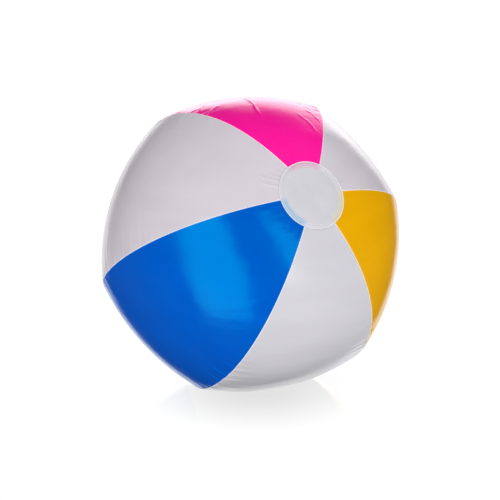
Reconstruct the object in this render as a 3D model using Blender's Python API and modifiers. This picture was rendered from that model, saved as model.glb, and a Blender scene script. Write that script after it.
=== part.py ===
"""Inflatable beach ball, 51 cm (20 in) nominal size, pumped up and standing on a floor.

Six film panels (gores) are welded edge to edge with the weld turned inward, a round film disc
closes each pole, and a push-in inflation valve sits in the magenta panel near the rear pole.
World +Z is up, the floor is z = 0 and the valve points along +Y.
"""
import math

import bmesh
import bpy
from mathutils import Matrix, Vector

# ---- whole ball (metres) -----------------------------------------------------------------
SEAM_RADIUS = 0.167       # ball centre to a welded ridge at the equator
PANEL_RATIO = 0.954       # mid-panel radius over the ridge radius
POLE_RATIO = 0.900        # half height along the pole axis over the ridge radius
SHAPE_POWER = 2.15        # superellipse power of a meridian, 2 would be an ellipse
FILM = 0.00025            # PVC film thickness
GAP = 0.0003              # clearance between neighbouring pieces
HEM_DEPTH = 0.0030        # width of the weld allowance turned inside along each edge

# ---- how the ball lies -------------------------------------------------------------------
POLE_TILT = math.radians(36.0)     # front pole above the horizontal
SEAM_ROLL = math.radians(-27.13)   # first ridge, measured round the pole axis from the top
SEAM_DRIFT = (0.5, 1.8, -1.5, 1.4, -0.4, -1.8)   # degrees each weld wanders from even spacing
CONTACT_PRESS = 0.0012    # how far the lowest film is pressed flat by the floor

# ---- panels and pole discs ---------------------------------------------------------------
TIP_ANGLE = math.radians(7.5)      # polar angle where the panels stop under a disc
DISC_ANGLE = math.radians(12.5)    # polar angle of a disc's edge
PANEL_STEPS = 34                   # rows of faces from pole to pole
PLAIN_COLUMNS = 12                 # columns of faces across an ordinary panel
VALVE_COLUMNS = 20                 # columns across the panel that carries the valve
VALVE_ZONE = math.radians(13.0)    # closer rows within this angle of the valve

# ---- valve: w is measured outward from the film's outer face, along the valve axis ---------
FLAT_RADIUS = 0.0190      # film lies flat on the flange inside this radius
BLEND_RADIUS = 0.0340     # and is back on the ball's curve at this one
FLAT_SINK = 0.0006        # the flat spot's depth below the curve's highest point
FILM_HOLE = 0.0110        # radius of the hole punched in the film
FLANGE_RADIUS = 0.0170
FLANGE_THICK = 0.0008
WELL_RADIUS = 0.0102      # opening inside the flange
STEM_RADIUS = 0.0046
BORE_RADIUS = 0.0034
STEM_TOP = 0.0010
STEM_LENGTH = 0.0230
COLLAR_RADIUS = 0.0058
WELL_DEPTH = 0.0072       # where the membrane joins the stem when the stem is pushed in
MEMBRANE_THICK = 0.0005
STRAP_WIDTH = 0.0040
STRAP_THICK = 0.0007
STRAP_REACH = 0.0123      # stem axis to the fold of the strap
CAP_RADIUS = 0.0060
CAP_THICK = 0.0015
PLUG_DEPTH = 0.0052
FLAP_RADIUS = 0.0043
FLAP_THICK = 0.0006
FLAP_HINGE = 0.0054       # stem axis to the flap's fold
STEM_TRAVEL = 0.015       # how far the stem pulls out

COLOURS = {
    "white": ((0.62, 0.61, 0.66), 0.28),
    "blue": ((0.0, 0.09, 0.58), 0.22),
    "magenta": ((0.84, 0.0, 0.30), 0.22),
    "yellow": ((0.74, 0.37, 0.0), 0.22),
    "clear": ((0.70, 0.71, 0.75), 0.20),
    "soft": ((0.66, 0.66, 0.70), 0.32),
}

POLE = Vector((0.0, -math.cos(POLE_TILT), math.sin(POLE_TILT)))
TOP = Vector((0.0, math.sin(POLE_TILT), math.cos(POLE_TILT)))
SIDE = TOP.cross(POLE)
SEAMS = [SEAM_ROLL + math.radians(60.0 * k + SEAM_DRIFT[k]) for k in range(6)]
SEAMS.append(SEAMS[0] + math.tau)


# ---- shape of the ball -------------------------------------------------------------------
def meridian(angle):
    """Radial and axial size of a ridge at a polar angle measured from the front pole."""
    sine, cosine = abs(math.sin(angle)), abs(math.cos(angle))
    grow = (sine ** SHAPE_POWER + cosine ** SHAPE_POWER) ** (-1.0 / SHAPE_POWER)
    return SEAM_RADIUS * sine * grow, SEAM_RADIUS * POLE_RATIO * math.cos(angle) * grow


def around(azimuth):
    """Unit vector square to the pole axis."""
    return TOP * math.cos(azimuth) + SIDE * math.sin(azimuth)


def across_panel(panel, share):
    """Direction times relative radius, from one ridge (share 0) to the next (share 1)."""
    start, end = SEAMS[panel], SEAMS[panel + 1]
    half = 0.5 * (end - start)
    centre = (1.0 - PANEL_RATIO ** 2) / (2.0 * (math.cos(half) - PANEL_RATIO))
    bend = PANEL_RATIO - centre
    reach = math.asin(math.sin(half) / bend)
    turn = reach * (2.0 * share - 1.0)
    middle = 0.5 * (start + end)
    along = around(middle) * (centre + bend * math.cos(turn))
    return along + around(middle + math.pi / 2) * (bend * math.sin(turn))


def surface(panel, share, angle):
    """A point of the panel's outer face, seen from the ball's centre."""
    radial, axial = meridian(angle)
    return across_panel(panel, share) * radial + POLE * axial


def farthest(panel, direction):
    """The panel's outermost point in a direction, found by closing in on it."""
    share, angle, step = 0.5, math.pi - 0.7, 0.25
    while step > 1e-5:
        tries = [(share + i * step, angle + j * step) for i in (-1, 0, 1) for j in (-1, 0, 1)]
        best = max(tries, key=lambda t: surface(panel, t[0], t[1]).dot(direction))
        if best == (share, angle):
            step *= 0.5
        share, angle = best
    return surface(panel, share, angle)


VALVE_PANEL, FLOOR_PANEL = 0, 3
LOWEST = farthest(FLOOR_PANEL, Vector((0, 0, -1)))
CENTRE = Vector((-LOWEST.x, -LOWEST.y, -LOWEST.z - CONTACT_PRESS))
VALVE_POINT = CENTRE + farthest(VALVE_PANEL, Vector((0, 1, 0))) - Vector((0, FLAT_SINK, 0))


# ---- scene helpers -----------------------------------------------------------------------
def clear_scene():
    for thing in list(bpy.data.objects):
        bpy.data.objects.remove(thing, do_unlink=True)


def new_collection(name, hidden):
    group = bpy.data.collections.new(name)
    bpy.context.scene.collection.children.link(group)
    group.hide_render = hidden
    return group


def material(name, kind):
    colour, rough = COLOURS[kind]
    made = bpy.data.materials.new(name)
    made.use_nodes = True
    shader = made.node_tree.nodes["Principled BSDF"]
    shader.inputs["Base Color"].default_value = (*colour, 1.0)
    shader.inputs["Roughness"].default_value = rough
    shader.inputs["Metallic"].default_value = 0.0
    made.diffuse_color = (*colour, 1.0)
    return made


def add_object(name, mesh, group, kind=None):
    thing = bpy.data.objects.new(name, mesh)
    group.objects.link(thing)
    if kind:
        mesh.materials.append(material(name, kind))
    return thing


def mesh_from(name, points, faces, edges=()):
    mesh = bpy.data.meshes.new(name)
    mesh.from_pydata([tuple(p) for p in points], list(edges), faces)
    mesh.validate()
    mesh.update()
    return mesh


def facing(direction, origin):
    """Matrix whose local Z points along a direction, placed at a point."""
    turn = Vector((0, 0, 1)).rotation_difference(direction.normalized())
    return Matrix.Translation(origin) @ turn.to_matrix().to_4x4()


def bend_profile(corners, radius, steps=4):
    """Round the inner corners of an (r, z) polyline."""
    points = [Vector(corners[0])]
    for before, corner, after in zip(corners, corners[1:], corners[2:]):
        corner = Vector(corner)
        one, two = Vector(before) - corner, Vector(after) - corner
        cut = min(radius, 0.45 * one.length, 0.45 * two.length)
        one, two = corner + one.normalized() * cut, corner + two.normalized() * cut
        for i in range(steps + 1):
            t = i / steps
            points.append(one * (1 - t) ** 2 + corner * (2 * t * (1 - t)) + two * t ** 2)
    points.append(Vector(corners[-1]))
    return points


def thick_profile(line, thick):
    """Close an (r, z) polyline into a band of even thickness, on its left-hand side."""
    band = []
    for i, point in enumerate(line):
        along = (line[min(i + 1, len(line) - 1)] - line[max(i - 1, 0)]).normalized()
        band.append(point + Vector((-along.y, along.x)) * thick)
    return list(line) + band[::-1]


def lathe(name, profile, group, kind, axis, origin, steps, closed):
    """Turn an (r, z) profile about an axis with a Screw modifier."""
    count = len(profile)
    area = sum(profile[i][0] * profile[(i + 1) % count][1]
               - profile[(i + 1) % count][0] * profile[i][1] for i in range(count))
    if area > 0:
        profile = profile[::-1]
    edges = [(i, (i + 1) % count) for i in range(count if closed else count - 1)]
    mesh = mesh_from(name, [(p[0], 0.0, p[1]) for p in profile], [], edges)
    thing = add_object(name, mesh, group, kind)
    screw = thing.modifiers.new("turn", "SCREW")
    screw.axis = "Z"
    screw.steps = screw.render_steps = steps
    screw.use_merge_vertices = True
    screw.merge_threshold = 0.00001
    thing.matrix_world = facing(axis, origin)
    return thing


def prism(name, outline, thick, group, kind, matrix):
    """A flat plate from an outline in local XY, standing on local z = 0."""
    count = len(outline)
    points = [(x, y, 0.0) for x, y in outline] + [(x, y, thick) for x, y in outline]
    faces = [tuple(range(count))[::-1], tuple(range(count, 2 * count))]
    faces += [(i, (i + 1) % count, count + (i + 1) % count, count + i) for i in range(count)]
    thing = add_object(name, mesh_from(name, points, faces), group, kind)
    thing.matrix_world = matrix
    return thing


# ---- panels ------------------------------------------------------------------------------
def polar_stations(panel):
    """Polar angles of the rows of points, three times as close around the valve."""
    step = (math.pi - 2 * TIP_ANGLE) / PANEL_STEPS
    stations = [TIP_ANGLE]
    for i in range(PANEL_STEPS):
        start = TIP_ANGLE + step * i
        near = abs(start + step / 2 - (math.pi - POLE_TILT)) < VALVE_ZONE
        count = 3 if panel == VALVE_PANEL and near else 1
        stations += [start + step * (j + 1) / count for j in range(count)]
    return stations


def ridge_inward(azimuth, angle):
    """Unit vector into the ball, square to a ridge."""
    step = 1e-4
    (r0, z0), (r1, z1) = meridian(angle - step), meridian(angle + step)
    return (around(azimuth) * (z1 - z0) - POLE * (r1 - r0)).normalized()


def hem_row(panel, angle, end):
    """Ridge point and hem edge of a panel at one station, half a gap off the seam plane."""
    azimuth = SEAMS[panel + end]
    inside = around(azimuth + math.pi / 2) * (-1 if end else 1) * GAP / 2
    radial, axial = meridian(angle)
    ridge = around(azimuth) * radial + POLE * axial + inside
    return ridge, ridge + ridge_inward(azimuth, angle) * HEM_DEPTH


def flatten_for_valve(point):
    """Press the film flat on the valve's flange, with a smooth change to the ball's curve."""
    away = Vector((point.x - VALVE_POINT.x, point.z - VALVE_POINT.z)).length
    if point.y < CENTRE.y or away > BLEND_RADIUS:
        return point
    t = max(0.0, (away - FLAT_RADIUS) / (BLEND_RADIUS - FLAT_RADIUS))
    keep = t * t * (3.0 - 2.0 * t)
    return Vector((point.x, VALVE_POINT.y + (point.y - VALVE_POINT.y) * keep, point.z))


def panel_sheet(name, panel, columns):
    """The panel as a bare sheet: hem, arc from ridge to ridge, hem."""
    rows = []
    for angle in polar_stations(panel):
        ridge_a, hem_a = hem_row(panel, angle, 0)
        ridge_b, hem_b = hem_row(panel, angle, 1)
        arc = [surface(panel, i / columns, angle) for i in range(1, columns)]
        row = [CENTRE + p for p in [hem_a, ridge_a, *arc, ridge_b, hem_b]]
        rows.append([flatten_for_valve(p) for p in row] if panel == VALVE_PANEL else row)
    wide = len(rows[0])
    faces = []
    for j in range(len(rows) - 1):
        for i in range(wide - 1):
            a = j * wide + i
            faces.append((a, a + 1, a + wide + 1, a + wide))
    return mesh_from(name, [p for row in rows for p in row], faces)


def press_on_floor(mesh):
    """Cut the sheet along the floor and lay everything below it flat."""
    work = bmesh.new()
    work.from_mesh(mesh)
    everything = work.verts[:] + work.edges[:] + work.faces[:]
    bmesh.ops.bisect_plane(work, geom=everything, plane_co=(0, 0, 0), plane_no=(0, 0, 1),
                           dist=1e-7)
    for vertex in work.verts:
        vertex.co.z = max(vertex.co.z, 0.0)
    under = [f for f in work.faces if all(v.co.z < 1e-7 for v in f.verts)]
    bmesh.ops.dissolve_faces(work, faces=under)
    work.to_mesh(mesh)
    work.free()


def build_panel(name, panel, kind, group, columns):
    mesh = panel_sheet(name, panel, columns)
    if panel == FLOOR_PANEL:
        press_on_floor(mesh)
    thing = add_object(name, mesh, group, kind)
    skin = thing.modifiers.new("film", "SOLIDIFY")
    skin.thickness = FILM
    skin.offset = -1.0
    skin.use_even_offset = True
    return thing


def cut_valve_hole(panel, cutters):
    mesh = bpy.data.meshes.new("valve_hole_cutter")
    work = bmesh.new()
    bmesh.ops.create_cone(work, cap_ends=True, segments=40, radius1=FILM_HOLE,
                          radius2=FILM_HOLE, depth=0.02)
    work.to_mesh(mesh)
    work.free()
    cutter = add_object("valve_hole_cutter", mesh, cutters)
    cutter.matrix_world = facing(Vector((0, 1, 0)), VALVE_POINT)
    cutter.hide_render = True
    cutter.display_type = "WIRE"
    hole = panel.modifiers.new("valve hole", "BOOLEAN")
    hole.operation = "DIFFERENCE"
    hole.solver = "EXACT"
    hole.object = cutter


def build_disc(name, group, front):
    """A pole disc that covers the panel tips, one gap above the ridges."""
    rings = 6
    lift = GAP
    profile = []
    for i in range(rings + 1):
        radial, axial = meridian(DISC_ANGLE * i / rings)
        profile.append(Vector((radial, axial + lift)))
    upper = [p + Vector((0, FILM)) for p in profile]
    axis = POLE if front else -POLE
    return lathe(name, profile + upper[::-1], group, "clear", axis, CENTRE, 48, False)


# ---- valve -------------------------------------------------------------------------------
def valve_matrix(u, w, v=0.0):
    """Local X along world X, local Y along -Z and local Z outward along world +Y."""
    turn = Matrix(((1, 0, 0), (0, 0, 1), (0, -1, 0))).to_4x4()
    return Matrix.Translation(VALVE_POINT + Vector((u, w, -v))) @ turn


def build_flange(group):
    top = -FILM - GAP
    bottom = top - FLANGE_THICK
    profile = [(WELL_RADIUS, bottom), (FLANGE_RADIUS, bottom), (FLANGE_RADIUS, top),
               (WELL_RADIUS, top)]
    return lathe("valve_flange", profile, group, "soft", Vector((0, 1, 0)), VALVE_POINT,
                 48, True)


def build_membrane(group):
    """Rolling skirt from the flange's underside to the stem, hanging in as a well."""
    top = -FILM - GAP - FLANGE_THICK - GAP
    line = bend_profile([(WELL_RADIUS + 0.0006, top), (WELL_RADIUS + 0.0002, -WELL_DEPTH),
                         (STEM_RADIUS + GAP, -WELL_DEPTH + 0.0004)], 0.0030)
    profile = thick_profile(line, MEMBRANE_THICK)
    return lathe("valve_membrane", profile, group, "soft", Vector((0, 1, 0)), VALVE_POINT,
                 40, True)


def build_stem(group):
    """Tube with a collar at the mouth and a seat for the flap at the inner end."""
    end = STEM_TOP - STEM_LENGTH
    seat_height, collar_height, ease = 0.0012, 0.0014, 0.0003
    outer = [(BORE_RADIUS, end), (COLLAR_RADIUS - ease, end), (COLLAR_RADIUS, end + ease),
             (COLLAR_RADIUS, end + seat_height), (STEM_RADIUS, end + seat_height + ease),
             (STEM_RADIUS, STEM_TOP - collar_height - ease),
             (COLLAR_RADIUS, STEM_TOP - collar_height), (COLLAR_RADIUS, STEM_TOP - ease),
             (COLLAR_RADIUS - ease, STEM_TOP), (BORE_RADIUS, STEM_TOP)]
    return lathe("valve_stem", outer, group, "soft", Vector((0, 1, 0)), VALVE_POINT,
                 32, True)


def plug_radius(depth):
    """Widest plug at a depth that still swings out of the bore about the strap's fold."""
    swing = math.sqrt((STRAP_REACH + BORE_RADIUS) ** 2 - depth ** 2) - STRAP_REACH
    return min(BORE_RADIUS, swing) - GAP


def build_plug(group):
    """Cap over the mouth with a tapered spigot that closes the bore."""
    under = STEM_TOP + GAP
    ease = 0.0004
    levels = [PLUG_DEPTH * i / 4 for i in range(5)]
    spigot = [(plug_radius(d), STEM_TOP - d) for d in levels]
    tip = spigot[-1]
    profile = [(0.0, under + CAP_THICK), (CAP_RADIUS - ease, under + CAP_THICK),
               (CAP_RADIUS, under + CAP_THICK - ease), (CAP_RADIUS, under + ease * 0.5),
               (CAP_RADIUS - ease * 0.5, under), (plug_radius(0.0), under), *spigot[1:-1],
               (tip[0], tip[1] + ease), (tip[0] - ease, tip[1]), (0.0, tip[1])]
    return lathe("plug", profile, group, "soft", Vector((0, 1, 0)), VALVE_POINT, 32, False)


def strap_outline(near, far):
    """Strap seen from outside: square at the fold, hugging a round edge at the other end."""
    half = STRAP_WIDTH / 2
    points = [(far, -half), (far, half)]
    for i in range(9):
        y = half - STRAP_WIDTH * i / 8
        points.append((math.sqrt(near ** 2 - y ** 2), y))
    return points


def build_straps(group):
    """The two strands of the plug's strap, one on the stem and one on the cap."""
    fold = STEM_TOP + GAP / 2
    lower = prism("strap_stem_end", strap_outline(COLLAR_RADIUS + GAP, STRAP_REACH - 0.0002),
                  STRAP_THICK, group, "soft", valve_matrix(0, fold - GAP / 2 - STRAP_THICK))
    upper = prism("strap_plug_end", strap_outline(CAP_RADIUS + GAP, STRAP_REACH),
                  STRAP_THICK, group, "soft", valve_matrix(0, fold + GAP / 2))
    return lower, upper


def build_flap(group):
    """Check flap under the stem's inner end, with the tab it folds on at its -X side."""
    end = STEM_TOP - STEM_LENGTH
    tab_half, count = 0.0018, 28
    start = math.asin(tab_half / FLAP_RADIUS)
    outline = [(-FLAP_HINGE, tab_half)]
    outline += [(-math.cos(start + (math.tau - 2 * start) * i / count) * FLAP_RADIUS,
                 math.sin(start + (math.tau - 2 * start) * i / count) * FLAP_RADIUS)
                for i in range(count + 1)]
    outline.append((-FLAP_HINGE, -tab_half))
    return prism("check_flap", outline[::-1], FLAP_THICK, group, "soft",
                 valve_matrix(0, end - GAP - FLAP_THICK))


# ---- assembly ----------------------------------------------------------------------------
def add_joint_empty(name, group, location):
    empty = bpy.data.objects.new(name, None)
    empty.empty_display_size = 0.01
    empty.location = location
    group.objects.link(empty)
    return empty


def parent_to(empty, *children):
    bpy.context.view_layer.update()
    for child in children:
        child.parent = empty
        child.matrix_parent_inverse = empty.matrix_world.inverted()


def main():
    clear_scene()
    ball = new_collection("beach_ball", False)
    cutters = new_collection("cutters", True)

    panels = [("panel_magenta", "magenta"), ("panel_white_right", "white"),
              ("panel_yellow", "yellow"), ("panel_white_low", "white"),
              ("panel_blue", "blue"), ("panel_white_left", "white")]
    for index, (name, kind) in enumerate(panels):
        columns = VALVE_COLUMNS if index == VALVE_PANEL else PLAIN_COLUMNS
        made = build_panel(name, index, kind, ball, columns)
        if index == VALVE_PANEL:
            cut_valve_hole(made, cutters)
    build_disc("pole_disc_front", ball, True)
    build_disc("pole_disc_rear", ball, False)

    build_flange(ball)
    build_membrane(ball)
    stem = build_stem(ball)
    plug = build_plug(ball)
    strap_stem, strap_plug = build_straps(ball)
    flap = build_flap(ball)

    slide = add_joint_empty("stem_slide_axis", ball, VALVE_POINT)
    fold = VALVE_POINT + Vector((STRAP_REACH, STEM_TOP + GAP / 2, 0))
    hinge = add_joint_empty("plug_hinge_axis", ball, fold)
    under = VALVE_POINT + Vector((-FLAP_HINGE, STEM_TOP - STEM_LENGTH - GAP / 2, 0))
    flap_axis = add_joint_empty("flap_hinge_axis", ball, under)
    parent_to(slide, stem, strap_stem)
    parent_to(hinge, plug, strap_plug)
    parent_to(flap_axis, flap)
    print("centre", tuple(CENTRE), "valve", tuple(VALVE_POINT), "plug axis", tuple(fold),
          "flap axis", tuple(under))


main()
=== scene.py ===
"""Looks of the inflatable beach ball: film panels, pole discs, push-in valve, studio and camera.

Lengths are metres unless a comment says mm, and angles are radians unless it says degrees.
"""
import math
import random

import bmesh
import bpy
import numpy as np
from mathutils import Matrix, Vector


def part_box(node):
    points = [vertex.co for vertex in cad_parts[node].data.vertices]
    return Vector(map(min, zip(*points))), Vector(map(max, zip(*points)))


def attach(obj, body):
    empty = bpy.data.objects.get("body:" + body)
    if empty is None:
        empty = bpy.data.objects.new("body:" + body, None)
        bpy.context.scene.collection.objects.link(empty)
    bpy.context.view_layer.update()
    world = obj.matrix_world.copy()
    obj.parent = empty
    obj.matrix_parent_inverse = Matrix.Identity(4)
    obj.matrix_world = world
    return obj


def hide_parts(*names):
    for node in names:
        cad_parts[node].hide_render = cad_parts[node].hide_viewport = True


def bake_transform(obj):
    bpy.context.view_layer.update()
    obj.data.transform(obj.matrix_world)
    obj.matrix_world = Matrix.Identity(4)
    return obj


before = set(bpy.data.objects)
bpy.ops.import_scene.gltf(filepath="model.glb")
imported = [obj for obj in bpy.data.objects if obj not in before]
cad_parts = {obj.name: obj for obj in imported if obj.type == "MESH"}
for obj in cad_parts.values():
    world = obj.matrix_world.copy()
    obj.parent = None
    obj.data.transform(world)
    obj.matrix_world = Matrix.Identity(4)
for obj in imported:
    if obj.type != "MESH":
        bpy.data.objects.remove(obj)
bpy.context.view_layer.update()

# ---- shape of the ball, by the same rule as the CAD ----------------------------------------
SEAM_RADIUS = 0.167               # ball centre to a welded ridge at the equator
PANEL_RATIO = 0.954               # mid-panel radius over the ridge radius
POLE_RATIO = 0.900                # half height along the pole axis over the ridge radius
SHAPE_POWER = 2.15                # 2 is an ellipse; more is squarer
POLE_TILT = math.radians(36.0)    # front pole above level, towards -Y
SEAM_ROLL = math.radians(-27.13)  # first seam from straight up, about the pole axis
SEAM_DRIFT = (0.5, 1.8, -1.5, 1.4, -0.4, -1.8)    # degrees off an even 60 apart
CONTACT_PRESS = 0.0012            # how far the lowest film is pressed flat by the floor
DISC_ANGLE = math.radians(12.5)   # polar angle of a pole disc's edge
TIP_ANGLE = math.radians(10.9)    # film panels end here, a little inside the disc's weld
FILM = 0.00025                    # film thickness
GAP = 0.0003                      # clearance between neighbouring pieces
MM = 0.001

POLE = np.array([0.0, -math.cos(POLE_TILT), math.sin(POLE_TILT)])
TOP = np.array([0.0, math.sin(POLE_TILT), math.cos(POLE_TILT)])
SIDE = np.cross(TOP, POLE)
SEAMS = [SEAM_ROLL + math.radians(60.0 * k + SEAM_DRIFT[k]) for k in range(6)]
SEAMS.append(SEAMS[0] + math.tau)
VALVE_PANEL, FLOOR_PANEL = 0, 3

# the stem is turned about the valve's axis, so its box gives the axis and its mouth
STEM_TOP = 0.0010                 # stem's mouth above the film's outer face, pushed in
stem_low, stem_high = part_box("valve_stem")
VALVE = Vector(((stem_low.x + stem_high.x) / 2, stem_high.y - STEM_TOP,
                (stem_low.z + stem_high.z) / 2))


# ---- numbers that repeat the same way each run --------------------------------------------
def smooth_noise(seed, count=4096):
    """A periodic smooth random function of one variable, one cell per unit."""
    values = np.array([random.Random(seed * 7919 + i).uniform(-1, 1) for i in range(count)])

    def look_up(x):
        cell = np.floor(x).astype(int)
        t = x - cell
        t = t * t * (3 - 2 * t)
        return values[cell % count] * (1 - t) + values[(cell + 1) % count] * t
    return look_up


def smooth_step(low, high, x):
    t = np.clip((x - low) / (high - low), 0, 1)
    return t * t * (3 - 2 * t)


# ---- panel surface ------------------------------------------------------------------------
def meridian(angle):
    sine, cosine = np.abs(np.sin(angle)), np.abs(np.cos(angle))
    grow = (sine ** SHAPE_POWER + cosine ** SHAPE_POWER) ** (-1.0 / SHAPE_POWER)
    return SEAM_RADIUS * sine * grow, SEAM_RADIUS * POLE_RATIO * np.cos(angle) * grow


def around(azimuth):
    azimuth = np.asarray(azimuth, float)[..., None]
    return TOP * np.cos(azimuth) + SIDE * np.sin(azimuth)


def panel_arc(panel):
    """Centre, bend radius and half reach of the arc between two ridges, in ridge radii."""
    half = 0.5 * (SEAMS[panel + 1] - SEAMS[panel])
    centre = (1.0 - PANEL_RATIO ** 2) / (2.0 * (math.cos(half) - PANEL_RATIO))
    bend = PANEL_RATIO - centre
    return centre, bend, math.asin(math.sin(half) / bend)


def surface(panel, share, angle):
    """Outer face of a panel, before puckers, from the ball's centre."""
    centre, bend, reach = panel_arc(panel)
    turn = reach * (2.0 * np.asarray(share, float) - 1.0)
    middle = 0.5 * (SEAMS[panel] + SEAMS[panel + 1])
    one = around(middle) * (centre + bend * np.cos(turn))[..., None]
    two = around(middle + math.pi / 2) * (bend * np.sin(turn))[..., None]
    radial, axial = meridian(angle)
    return (one + two) * radial[..., None] + POLE * axial[..., None]


def surface_normal(panel, share, angle):
    step = 1e-4
    across = surface(panel, share + step, angle) - surface(panel, share - step, angle)
    along = surface(panel, share, angle + step) - surface(panel, share, angle - step)
    normal = np.cross(along, across)
    normal /= np.linalg.norm(normal, axis=-1, keepdims=True)
    point = surface(panel, share, angle)
    flip = np.sign((normal * point).sum(-1, keepdims=True))
    return normal * flip


def farthest(panel, direction):
    share, angle, step = 0.5, math.pi - 0.7, 0.25
    while step > 1e-5:
        tries = [(share + i * step, angle + j * step) for i in (-1, 0, 1) for j in (-1, 0, 1)]
        reach = [float(surface(panel, np.array([s]), np.array([a]))[0] @ direction)
                 for s, a in tries]
        best = tries[int(np.argmax(reach))]
        if best == (share, angle):
            step *= 0.5
        share, angle = best
    return surface(panel, np.array([share]), np.array([angle]))[0]


LOWEST = farthest(FLOOR_PANEL, np.array([0.0, 0.0, -1.0]))
CENTRE = -LOWEST - np.array([0.0, 0.0, CONTACT_PRESS])


def seam_normal(seam, angle):
    """Outward unit vectors square to a ridge, in the ridge's own plane."""
    step = 1e-4
    r0, z0 = meridian(angle - step)
    r1, z1 = meridian(angle + step)
    normal = around(np.full_like(angle, SEAMS[seam])) * (z0 - z1)[..., None]
    normal = normal + POLE * (r1 - r0)[..., None]
    return normal / np.linalg.norm(normal, axis=-1, keepdims=True)


# ---- puckers: a flat-cut panel's edge is longer than its middle, so the film gathers ------
def seam_key(seam):
    return seam % 6


# where the film gathers most: (seam, side) to (degrees from the front pole, spread, gain);
# side 1 is the panel after the seam and side 2 the panel before it
GATHERS = {
    (0, 1): ((60, 14, 0.9), (112, 20, 0.8)), (0, 2): ((70, 14, 0.8), (115, 22, 0.8)),
    (1, 1): ((62, 14, 0.6), (110, 20, 0.9)), (1, 2): ((46, 12, 1.6), (108, 20, 0.7)),
    (2, 1): ((64, 14, 0.5), (106, 18, 0.8)), (2, 2): ((60, 14, 0.8), (108, 20, 0.7)),
    (3, 1): ((64, 16, 1.1), (112, 18, 0.7)), (3, 2): ((64, 14, 0.8), (104, 20, 0.8)),
    (4, 1): ((82, 11, 3.0), (116, 18, 0.7)), (4, 2): ((84, 11, 1.7), (118, 18, 0.7)),
    (5, 1): ((84, 15, 1.2), (120, 18, 0.8)), (5, 2): ((92, 10, 0.4), (120, 18, 0.8)),
}
GATHER_BASE = 0.30
PUCKER_WAVES = ((4.3, 4.8, 0.25, 3), (8.1, 7.0, 0.33, 4),
                (15.0, 13.0, 0.30, 5))   # pitch, fade and height in mm, noise number


def pucker(seam, run, off, angle, side):
    """Height of the gathers beside a seam. run is along it and off away from it, in mm."""
    key = seam_key(seam) * 10 + side
    degrees = np.degrees(angle)
    gain = GATHER_BASE + sum(g * np.exp(-((degrees - at) / spread) ** 2)
                             for at, spread, g in GATHERS[seam_key(seam), side])
    belt = gain * np.exp(-((degrees - 90.0) / 48.0) ** 2)
    windows = 0.62 + 0.55 * smooth_noise(key + 1)(run / 21.0)
    drift = smooth_noise(key + 2)
    total = 0.0
    for pitch, fade, height, salt in PUCKER_WAVES:
        phase = math.tau * (run + 0.55 * pitch * drift(run / (pitch * 1.7) + salt * 31)) / pitch
        lean = 0.35 * off / pitch * smooth_noise(key + 6)(run / 60.0 + salt)
        wave = np.cos(phase + lean) + 0.35 * np.cos(2 * phase + 1.1)
        window = np.clip(windows + 0.5 * smooth_noise(key + salt + 20)(run / (2.2 * pitch)), 0, 2)
        total = total + height * wave * np.exp(-off / fade) * window
    return total * belt * (1.0 - np.exp(-off / 1.3))


def ridge_wave(seam, run, angle):
    """The welded ridge itself is drawn in a little at each gather. run and result in mm."""
    key = seam_key(seam) * 10
    belt = np.exp(-((np.degrees(angle) - 90.0) / 34.0) ** 2)
    phase = math.tau * (run + 2.4 * smooth_noise(key + 8)(run / 8.0)) / 5.2
    return belt * (0.15 * np.cos(phase) + 0.22 * smooth_noise(key + 9)(run / 6.0))


def tip_puckers(panel, share, angle):
    """Short radial folds that run out from under a pole disc, in mm."""
    wide = SEAMS[panel + 1] - SEAMS[panel]
    turn = SEAMS[panel] + share * wide
    nearest = np.minimum(angle, math.pi - angle)
    off = (nearest - DISC_ANGLE) * SEAM_RADIUS / MM
    rear = (angle > math.pi / 2) * 17.0
    fold = smooth_noise(91)(turn * 13.0 + rear) + 0.6 * smooth_noise(92)(turn * 29.0 + rear)
    return 0.13 * fold * np.exp(-np.abs(off) / 9.0)


# long soft creases left by folding: panel, both ends as (share across the panel, degrees from
# the front pole), height and width in mm
CREASES = (
    (0, (0.46, 62.0), (0.34, 38.0), 0.60, 1.4),
    (0, (0.00, 50.0), (0.20, 56.0), 0.70, 1.4),
    (0, (0.02, 56.0), (0.18, 63.0), 0.50, 1.4),
    (0, (0.84, 46.0), (0.99, 35.0), 0.45, 1.3),
    (0, (0.74, 40.0), (0.95, 27.0), 0.35, 1.3),
    (0, (0.80, 56.0), (0.93, 44.0), 0.35, 1.4),
    (0, (0.30, 14.0), (0.20, 36.0), 0.16, 1.0),
    (0, (0.45, 15.0), (0.42, 33.0), 0.14, 1.0),
    (0, (0.62, 84.0), (0.86, 76.0), 0.35, 1.6),
    (5, (1.00, 50.0), (0.86, 45.0), 0.50, 1.3),
    (5, (0.98, 66.0), (0.84, 58.0), 0.30, 1.4),
    (5, (0.33, 12.0), (0.40, 20.0), 0.40, 1.1),
    (5, (0.48, 12.0), (0.51, 22.0), 0.45, 1.2),
    (5, (0.62, 12.0), (0.60, 18.0), 0.30, 1.0),
    (5, (0.62, 84.0), (0.90, 76.0), -0.14, 2.2),
    (5, (0.06, 96.0), (0.30, 92.0), 0.14, 1.8),
    (1, (0.10, 40.0), (0.20, 58.0), 0.16, 1.8),
    (1, (0.55, 34.0), (0.62, 58.0), 0.10, 2.6),
    (2, (0.72, 60.0), (0.96, 72.0), 0.18, 1.5),
    (3, (0.10, 97.0), (0.44, 92.0), 0.16, 2.0),
    (3, (0.82, 60.0), (0.98, 70.0), 0.12, 1.6),
    (4, (0.04, 88.0), (0.22, 80.0), 0.12, 1.8),
)


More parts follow.
